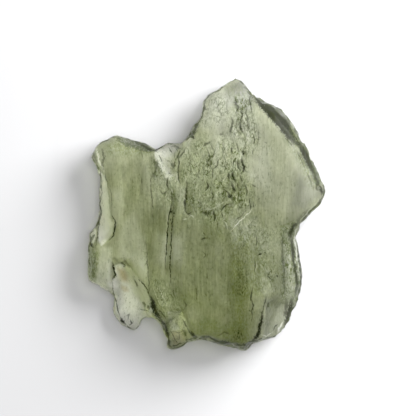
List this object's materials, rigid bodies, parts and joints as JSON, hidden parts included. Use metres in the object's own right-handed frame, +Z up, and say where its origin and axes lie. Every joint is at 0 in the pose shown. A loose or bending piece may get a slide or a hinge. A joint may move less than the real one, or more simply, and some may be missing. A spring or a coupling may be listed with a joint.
{
  "type": "moldavite",
  "caption": "Flat jagged shard of clear olive-green natural glass, swollen in the middle, with etched pits, flow grooves, scoops and a pointed end.",
  "frame": {"origin": "centre of the piece's bounding box seen from above, on the surface that it rests on", "axes": "+Z up out of the upper face, +Y along the length towards the pointed end, +X towards the projecting corner of the right side"},
  "size_m": [0.0284, 0.0326, 0.0072],
  "materials": {
    "moldavite_glass": "natural etched surface, satin with glossy cups"
  },
  "bodies": {
    "root": {"moldavite": "moldavite_glass"}
  },
  "joints": []
}
